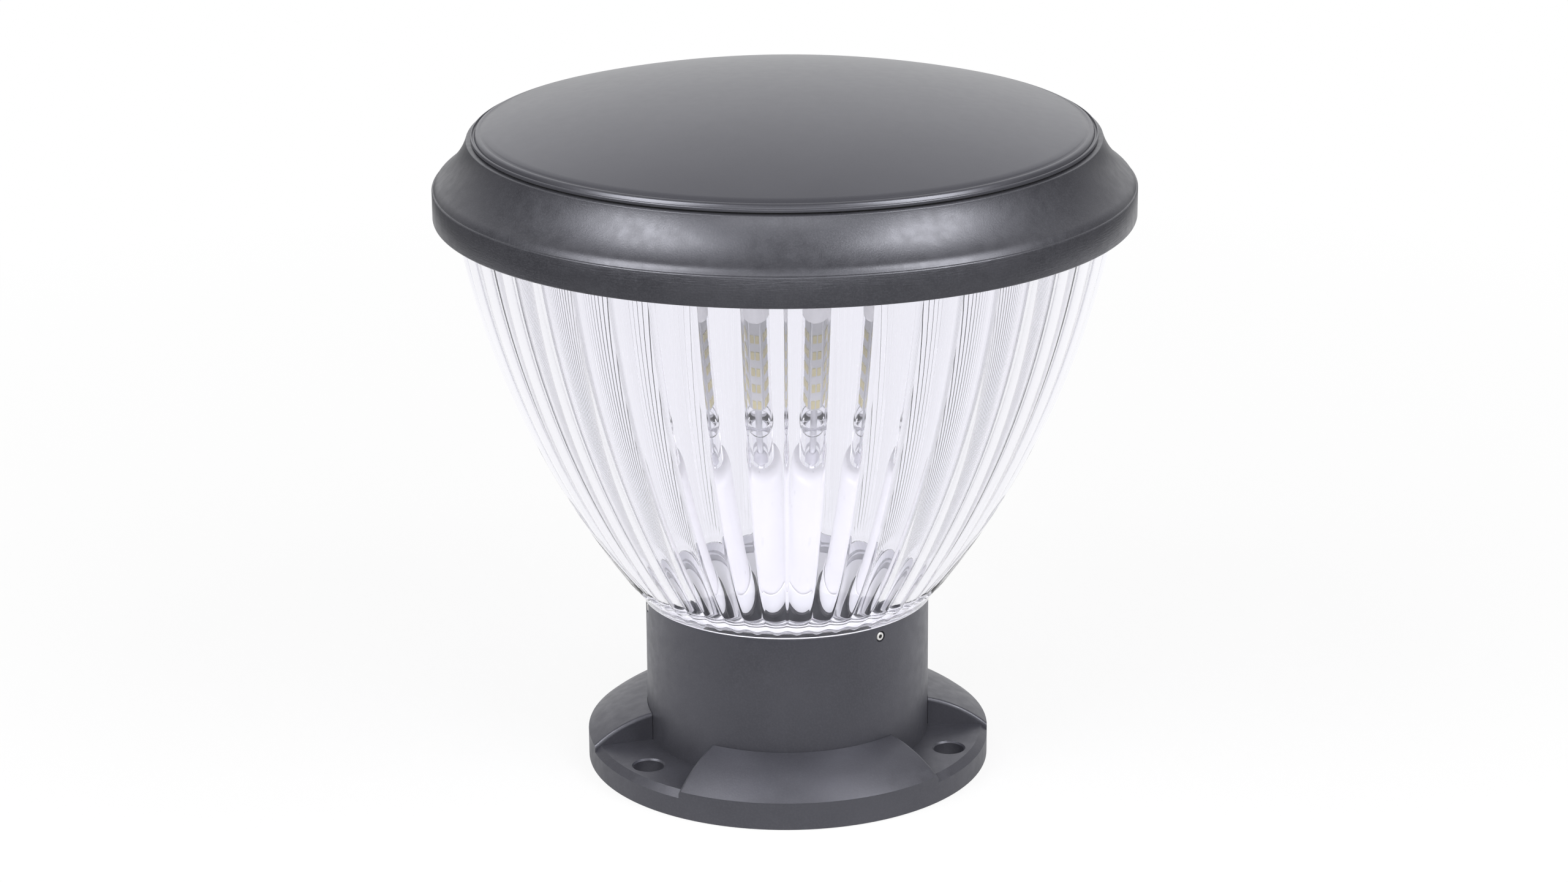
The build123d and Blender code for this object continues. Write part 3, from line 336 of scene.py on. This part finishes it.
tree.links.new(pebbles.outputs[0], rings.inputs["Normal"])
tree.links.new(rings.outputs[0], shader.inputs["Normal"])
print("rim strokes about", round(1.0 / STROKES_PER_METRE / MM, 2), "mm high")

# %% [markdown]
# ## Clear pieces
# The lens is moulded in clear acrylic with a faint blue cast. Its wall has slight upright waves from the mould.
# Glass in a render keeps lamps out, because a lamp is found through a straight line only. So for lamps alone the
# clear pieces count as see-through, and the light reaches what stands inside them.

# %% Clear finishes
def clear(name, colour, roughness, index, waves, depth):
    """A clear finish with upright waves of a width and depth in millimetres."""
    material, tree, shader = finish(name, roughness)
    shader.inputs["Base Color"].default_value = (*colour, 1.0)
    shader.inputs["Transmission Weight"].default_value = 1.0
    shader.inputs["IOR"].default_value = index
    bump(tree, shader, grain(tree, waves, 1.0, (1.0, 1.0, 0.03)), depth)
    path = add(tree, "ShaderNodeLightPath")
    through = add(tree, "ShaderNodeBsdfTransparent", Color=(*colour, 1.0))
    either = add(tree, "ShaderNodeMixShader")
    tree.links.new(path.outputs["Is Shadow Ray"], either.inputs["Fac"])
    tree.links.new(shader.outputs[0], either.inputs[1])
    tree.links.new(through.outputs[0], either.inputs[2])
    tree.links.new(either.outputs[0], tree.nodes["Material Output"].inputs["Surface"])
    finishes[name] = material


clear("lens_clear", (0.953, 0.950, 0.990), 0.02, 1.49, 3.0, 0.005)
clear("lamp_clear", (0.97, 0.97, 0.985), 0.02, 1.49, 6.0, 0.005)
print("clear:", [n for n in finishes if "clear" in n])

# %% [markdown]
# ## Mouldings, rubber and leads
# Small mouldings are one colour with a soft mottle and a fine grain. Rubber is darker and rougher.
# They could each have a tree of their own. One step with a few numbers is enough, since only colour and gloss change.

# %% Plain finishes
def plain(name, colour, roughness, size, depth, mottle=0.12, metallic=0.0, stretch=(1.0, 1.0, 1.0)):
    """One colour with a mottle of a size in millimetres, in its colour, its gloss and its surface."""
    material, tree, shader = finish(name, roughness, metallic)
    fine = grain(tree, size, 3.0, stretch)
    darker = tuple(c * (1.0 - mottle) for c in colour)
    shade = blend_colours(tree, between(tree, fine, 0.0, 1.0), darker, colour)
    tree.links.new(shade, shader.inputs["Base Color"])
    rough = between(tree, grain(tree, 3.0 * size), 0.85 * roughness, min(1.0, 1.2 * roughness))
    tree.links.new(rough, shader.inputs["Roughness"])
    bump(tree, shader, fine, depth)
    finishes[name] = material


plain("lamp_white", (0.93, 0.92, 0.93), 0.32, 1.2, 0.002, 0.02)
plain("reflector_white", (0.92, 0.92, 0.92), 0.45, 0.8, 0.003, 0.02)
plain("holder_black", (0.016, 0.016, 0.018), 0.42, 0.5, 0.015, 0.3)
plain("block_white", (0.78, 0.77, 0.73), 0.45, 0.6, 0.01, 0.06)
plain("insulator_black", (0.018, 0.018, 0.018), 0.22, 2.0, 0.01, 0.3)
plain("rubber", (0.016, 0.016, 0.016), 0.75, 0.5, 0.03, 0.35)
plain("nylon", (0.80, 0.79, 0.76), 0.45, 0.4, 0.01, 0.06)
plain("board_white", (0.93, 0.93, 0.92), 0.40, 0.5, 0.004, 0.03)
plain("driver_green", (0.02, 0.13, 0.05), 0.40, 0.6, 0.01, 0.25)
plain("driver_black", (0.025, 0.025, 0.03), 0.30, 1.5, 0.01, 0.25)
plain("lead_brown", (0.13, 0.055, 0.025), 0.42, 0.6, 0.01, 0.15)
plain("lead_blue", (0.025, 0.09, 0.40), 0.42, 0.6, 0.01, 0.15)
plain("lead_green", (0.10, 0.32, 0.06), 0.42, 0.6, 0.01, 0.15)
plain("chip_phosphor", (0.95, 0.86, 0.50), 0.30, 0.2, 0.004, 0.08)
print("plain finishes:", len(finishes))

# %% [markdown]
# ## Bare metals
# Sheet parts are zinc plated, the lamp cap is nickel plated and contacts are brass. A metal takes its colour in the
# reflection, so the same step is used with the metallic value at 1. The screws are steel with a pale, dull coat, so
# theirs is only half.

# %% Metal finishes
plain("steel", (0.88, 0.87, 0.85), 0.42, 0.3, 0.006, 0.06, 0.5)
plain("zinc_sheet", (0.66, 0.67, 0.69), 0.34, 1.5, 0.006, 0.15, 1.0, (1.0, 1.0, 0.2))
plain("nickel", (0.74, 0.71, 0.66), 0.20, 0.8, 0.004, 0.10, 1.0)
plain("brass", (0.80, 0.58, 0.25), 0.28, 0.8, 0.006, 0.15, 1.0)
plain("column_aluminium", (0.82, 0.82, 0.83), 0.35, 0.6, 0.008, 0.10, 1.0, (1.0, 1.0, 0.05))
print("all finishes:", len(finishes))

# %% [markdown]
# ## Finishes on the solids
# The record names a finish for every solid. Each could be set by hand, but a loop over the record forgets none.

# %% A finish for every solid
slot_of = {part["node"]: part["material_slot"] for part in frame["record"]["subparts"]}
for node, solid in frame["nodes"].items():
    solid.data.materials.clear()
    solid.data.materials.append(finishes[slot_of[node]])
print("solids with a finish:", len(slot_of))

# %% [markdown]
# ## Turning on a lathe
# Most of the lantern is round, so most new pieces are an outline that is spun about the axis.
# An outline is a walk through stops of radius and height. A stop with a third number is reached on an arc, and the
# number says how far the arc bows to the left. The arc itself is a spin of one point.

# %% Outlines and spins
def walk(shape, stops, arc_steps=16):
    """Draws an outline in the XZ plane, in millimetres, and returns its first and last points."""
    first = shape.verts.new((stops[0][0] * MM, 0.0, stops[0][1] * MM))
    last = first
    for stop in stops[1:]:
        end = Vector((stop[0] * MM, 0.0, stop[1] * MM))
        if len(stop) == 2:
            reached = shape.verts.new(end)
            shape.edges.new((last, reached))
            last = reached
            continue
        chord = end - last.co
        half = chord.length / 2
        bow = stop[2] * MM
        radius = (half**2 + bow**2) / (2 * bow)
        left = Vector((-chord.z, 0.0, chord.x)).normalized()
        centre = last.co + chord / 2 + left * (bow - radius)
        steps = stop[3] if len(stop) > 3 else arc_steps
        made = bmesh.ops.spin(
            shape, geom=[last], cent=centre, axis=(0, 1, 0), angle=2 * asin(half / radius), steps=steps
        )
        last = next(v for v in made["geom_last"] if isinstance(v, bmesh.types.BMVert))
    return first, last


def spun(stops, steps, closed=True, arc_steps=16):
    """Spins an outline round the axis. An outline that starts and ends on the axis isn't closed."""
    shape = bmesh.new()
    first, last = walk(shape, stops, arc_steps)
    if closed:
        shape.edges.new((last, first))
    line = list(shape.verts) + list(shape.edges)
    bmesh.ops.spin(shape, geom=line, cent=(0, 0, 0), axis=(0, 0, 1), angle=2 * pi, steps=steps, use_merge=True)
    bmesh.ops.remove_doubles(shape, verts=shape.verts, dist=0.002 * MM)
    bmesh.ops.recalc_face_normals(shape, faces=shape.faces)
    return shape


def piece(name, shape, body, slot, *nodes, sharp=35.0):
    """Makes a finished object of a bmesh, on a body, in a finish, in place of solids."""
    for face in shape.faces:
        face.smooth = True
    for edge in shape.edges:
        edge.smooth = len(edge.link_faces) == 2 and edge.calc_face_angle() < radians(sharp)
    made = bpy.data.objects.new(name, bpy.data.meshes.new(name))
    shape.to_mesh(made.data)
    shape.free()
    made.data.materials.append(finishes[slot])
    bpy.context.scene.collection.objects.link(made)
    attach(made, body)
    if nodes:
        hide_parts(*nodes)
    print(name, "faces:", len(made.data.polygons))
    return made


# %% [markdown]
# ## The lens
# The lens is a bowl whose outside swells into 48 upright reeds, and whose inside is smooth.
# Each reed is a little cylinder lens, so it shows its own thin copy of the lamp. That is what makes the bowl glitter.
# The reeds end in round tips above a plain clear ring. A loft could make this too, but a spun bowl whose outer points
# are pulled in between the reeds keeps even rows, and the tips come from one formula.

# %% The lens bowl
LENS_SEAT = 64.5
LENS_LIP = 211.5
BOW_CENTRE = (-200.517, 263.945)
BOW_RADIUS = 323.0
LENS_WALL = 4.0
REEDS = 48
REED_DEPTH = 2.0
TIP_START = 67.2
TIP_LENGTH = 5.0


def lens_radius(height):
    """The radius over the reeds at a height."""
    return BOW_CENTRE[0] + sqrt(BOW_RADIUS**2 - (height - BOW_CENTRE[1]) ** 2)


def lens_bow(low, high):
    """How far the bowl's outline bows between two heights."""
    chord = hypot(high - low, lens_radius(high) - lens_radius(low))
    return BOW_RADIUS - sqrt(BOW_RADIUS**2 - chord**2 / 4)


NECK_INNER = 44.1
NECK_OUTER = 47.6
NECK_FOOT = 52.0
ROOT = 71.2
tip_top = TIP_START + TIP_LENGTH
outline = [
    (NECK_INNER, NECK_FOOT), (NECK_OUTER, NECK_FOOT), (NECK_OUTER, LENS_SEAT), (lens_radius(LENS_SEAT), LENS_SEAT),
    (lens_radius(TIP_START), TIP_START),
    (lens_radius(tip_top), tip_top, -lens_bow(TIP_START, tip_top), 14),
    (lens_radius(LENS_LIP), LENS_LIP, -lens_bow(tip_top, LENS_LIP), 52),
    (118.8, LENS_LIP), (118.8, 214.0), (110.0, 214.0), (110.0, LENS_LIP),
    (lens_radius(LENS_LIP) - LENS_WALL, LENS_LIP),
    (lens_radius(ROOT) - LENS_WALL, ROOT, lens_bow(ROOT, LENS_LIP), 30),
    (NECK_INNER, 66.5),
]
bowl = spun(outline, REEDS * 12)
print("bowl points:", len(bowl.verts))

# %% The reeds
for point in bowl.verts:
    height = point.co.z / MM
    radius = hypot(point.co.x, point.co.y) / MM
    if LENS_SEAT <= height < LENS_LIP - 0.01 and radius > lens_radius(height) - 0.5:
        turn = (atan2(point.co.y, point.co.x) + pi / 2) * REEDS / (2 * pi)
        off_crest = 2.0 * (turn % 1.0) - 1.0
        short = 1.0 - min(1.0, max(0.0, (height - TIP_START) / TIP_LENGTH))
        swell = max(0.0, 1.0 - off_crest**2 - short**2)
        depth = REED_DEPTH * lens_radius(height) / lens_radius(208.0)
        point.co.xy *= (radius - depth * (1.0 - swell)) / radius
bmesh.ops.recalc_face_normals(bowl, faces=bowl.faces)
piece("lens_bowl", bowl, "head", "lens_clear", "diffuser", sharp=60.0)

# %% [markdown]
# ## White neck
# The lens has a neck that hangs in the dark pillar. A coat of white paint on the neck and under the seat keeps the
# dark wall from showing through the clear foot of the bowl. A coat could be a second finish on the same mesh. Here it
# is a thin sleeve just under the clear surface, because light inside clear plastic then meets paint and not air.

# %% The neck's coat
coat = spun([
    (52.8, 64.75), (52.8, 64.6), (47.5, 64.6), (47.5, 52.1), (44.2, 52.1), (44.2, 63.5), (44.35, 63.5),
    (44.35, 52.25), (47.35, 52.25), (47.35, 64.75),
], 192)
piece("neck_coat", coat, "head", "reflector_white")

# %% [markdown]
# ## The cap
# The rim is an aluminium casting with a hollow shoulder over a straight band. The lid lies on it. A fine bead and a
# groove run round the lid just inside its edge. Both could be bevelled discs, but spun outlines give every small
# radius its own place.

# %% The rim
rim = spun([
    (111.9, 236.0), (86.0, 236.0), (86.0, 233.2), (109.5, 233.2), (113.6, 226.0), (120.5, 220.0), (120.5, 219.5),
    (113.2, 219.5), (113.2, 216.5), (121.5, 216.5), (121.5, 211.0), (119.2, 211.0), (119.2, 208.0),
    (124.4, 208.0), (125.0, 208.6, -0.15, 3), (125.0, 218.4), (124.4, 219.0, -0.12, 4),
    (122.3, 221.6, -0.25, 6), (112.5, 235.6, 1.3, 24), (112.3, 235.9, -0.05, 3),
], 256)
piece("rim_casting", rim, "head", "rim_coat", "rim_ring")

# %% The lid
LID_APEX = 254.0
DOME_RADIUS = 396.4
DOME_EDGE = 106.6
DOME_INNER_EDGE = 103.0


def dome_height(radius):
    """The height of the lid's top at a radius."""
    return LID_APEX - DOME_RADIUS + sqrt(DOME_RADIUS**2 - radius**2)


def dome_bow(radius):
    """How far the lid's top bows between the axis and a radius."""
    chord = hypot(radius, LID_APEX - dome_height(radius))
    return DOME_RADIUS - sqrt(DOME_RADIUS**2 - chord**2 / 4)


LID_WALL = 2.6
lid = spun([
    (0.0, LID_APEX), (DOME_EDGE, dome_height(DOME_EDGE), dome_bow(DOME_EDGE), 48), (107.4, 238.85, -0.05, 4),
    (109.1, 238.35, 0.30, 8), (109.5, 237.3), (110.1, 237.2), (110.3, 237.8), (110.8, 237.4, 0.12, 4),
    (110.8, 236.6), (DOME_INNER_EDGE, 236.6), (DOME_INNER_EDGE, dome_height(DOME_INNER_EDGE) - LID_WALL),
    (0.0, LID_APEX - LID_WALL, -dome_bow(DOME_INNER_EDGE), 24),
], 256, closed=False)
piece("lid_shell", lid, "head", "lid_coat", "dome_lid")

# %% [markdown]
# ## The lamp
# The lamp is white below and clear above. Its white body is moulded with a soft round shoulder and a low cone round
# the stem. The clear tube has a thick foot, which shows bright upright streaks, and a rolled bead above it.
# Cylinders would be quicker, but the light bends at the round foot and shoulder, and that is what shows in the reeds.

# %% The lamp's body
BODY_TOP = 116.5
body = spun([
    (12.0, 62.5), (14.0, 62.5), (24.0, 71.5, -1.1, 12), (24.0, BODY_TOP - 5.0), (19.0, BODY_TOP, -1.46, 10),
    (8.4, BODY_TOP), (4.3, BODY_TOP + 2.5), (4.3, BODY_TOP - 2.0), (21.8, BODY_TOP - 2.0),
    (21.8, 73.5), (12.0, 64.5),
], 128)
piece("lamp_base", body, "lamp", "lamp_white", "lamp_body")

# %% The lamp's clear tube
tube = spun([
    (15.5, BODY_TOP + 0.05), (15.5, 128.5), (16.3, 129.2, -0.1, 4), (16.3, 130.8), (15.5, 131.5, -0.1, 4),
    (15.5, 170.5), (14.5, 170.5), (14.5, 128.8), (9.0, 127.0, 0.6, 6), (9.0, BODY_TOP + 0.05),
], 96)
piece("lamp_envelope", tube, "lamp", "lamp_clear", "lamp_tube")

# %% [markdown]
# ## The black ring
# A black ring sits round the white collar at the lamp's foot. It shows through the front of the lens as a dark, wavy
# line. A tube with a bevel modifier would do as well. It is spun with its small slanted edge, a little taller than
# its solid, so that it shows over the lens's foot.

# %% The shade ring
ring = spun([(25.9, 58.2), (28.9, 58.2), (28.9, 65.0), (28.3, 65.6), (25.9, 65.6)], 128)
piece("lamp_shade_ring", ring, "base", "holder_black", "shade_ring")

# %% [markdown]
# ## Grub screws
# Three small screws in the pillar hold the lens. Each has a hexagon socket in its end. A socket could be cut out with
# a Boolean, but here a hexagon and a circle are bridged to make the end, and both are then drawn out along the screw.

# %% The screw's shape
SCREW_RADIUS = 1.5
SCREW_EDGE = 0.15
SOCKET_CORNER = 0.866
SOCKET_DEPTH = 3.0


def drawn(shape, edges, shrink, down):
    """Draws a ring of edges out, smaller or larger and further down, and returns the new ring."""
    made = bmesh.ops.extrude_edge_only(shape, edges=edges)["geom"]
    points = [g for g in made if isinstance(g, bmesh.types.BMVert)]
    bmesh.ops.scale(shape, verts=points, vec=(shrink, shrink, 1.0))
    bmesh.ops.translate(shape, verts=points, vec=(0.0, 0.0, -down * MM))
    return [g for g in made if isinstance(g, bmesh.types.BMEdge)]


def grub_screw(length):
    """A grub screw whose socket end lies at the origin and looks along +Z."""
    shape = bmesh.new()
    bmesh.ops.create_circle(shape, segments=6, radius=SOCKET_CORNER * MM)
    bmesh.ops.subdivide_edges(shape, edges=list(shape.edges), cuts=7)
    socket = list(shape.edges)
    bmesh.ops.create_circle(shape, segments=48, radius=(SCREW_RADIUS - SCREW_EDGE) * MM)
    rim = [edge for edge in shape.edges if edge not in socket]
    bmesh.ops.bridge_loops(shape, edges=socket + rim)
    socket_floor = drawn(shape, socket, 1.0, SOCKET_DEPTH)
    shoulder = drawn(shape, rim, SCREW_RADIUS / (SCREW_RADIUS - SCREW_EDGE), SCREW_EDGE)
    foot = drawn(shape, shoulder, 1.0, length - SCREW_EDGE)
    for ring_edges in (socket_floor, foot):
        bmesh.ops.contextual_create(shape, geom=ring_edges)
    bmesh.ops.recalc_face_normals(shape, faces=shape.faces)
    return shape


print("socket across flats:", round(SOCKET_CORNER * sqrt(3.0), 2), "mm")

# %% [markdown]
# ## Screws in their places
# The solids know where each screw sits, so its height, direction and inner end are measured from them. The socket
# end is set just under the pillar's face. A flat black hexagon sunk in each socket is painted shade, which makes
# the socket read dark.

# %% The grub screws
SCREW_END = 51.9
SHADE_DEPTH = 0.5
SHADE_MIDDLE = 0.45


def shade_hexagon():
    """A flat black hexagon of painted shade for a socket, round the origin."""
    shape = bmesh.new()
    corner = SOCKET_CORNER * MM
    bmesh.ops.create_cone(
        shape, cap_ends=True, segments=6, radius1=corner, radius2=corner, depth=SHADE_DEPTH * MM
    )
    return shape


for number in (1, 2, 3):
    points = [v.co for v in frame["nodes"][f"grub_screw_{number}"].data.vertices]
    inner = min(hypot(p.x, p.y) for p in points) / MM
    height = (min(p.z for p in points) + max(p.z for p in points)) / 2
    angle = atan2(sum(p.y for p in points), sum(p.x for p in points))
    outwards = Matrix.Rotation(angle, 4, "Z") @ Matrix.Translation((SCREW_END * MM, 0.0, height))
    seat = outwards @ Matrix.Rotation(pi / 2, 4, "Y")
    screw = grub_screw(SCREW_END - inner)
    bmesh.ops.transform(screw, matrix=seat, verts=screw.verts)
    piece(f"grub_{number}_steel", screw, f"grub_{number}", "steel", f"grub_screw_{number}")
    # Painted shade: a flat black hexagon in the socket makes it read dark.
    painted_shade = shade_hexagon()
    sunk = seat @ Matrix.Translation((0.0, 0.0, -SHADE_MIDDLE * MM))
    bmesh.ops.transform(painted_shade, matrix=sunk, verts=painted_shade.verts)
    piece(f"grub_{number}_grease", painted_shade, f"grub_{number}", "rubber")
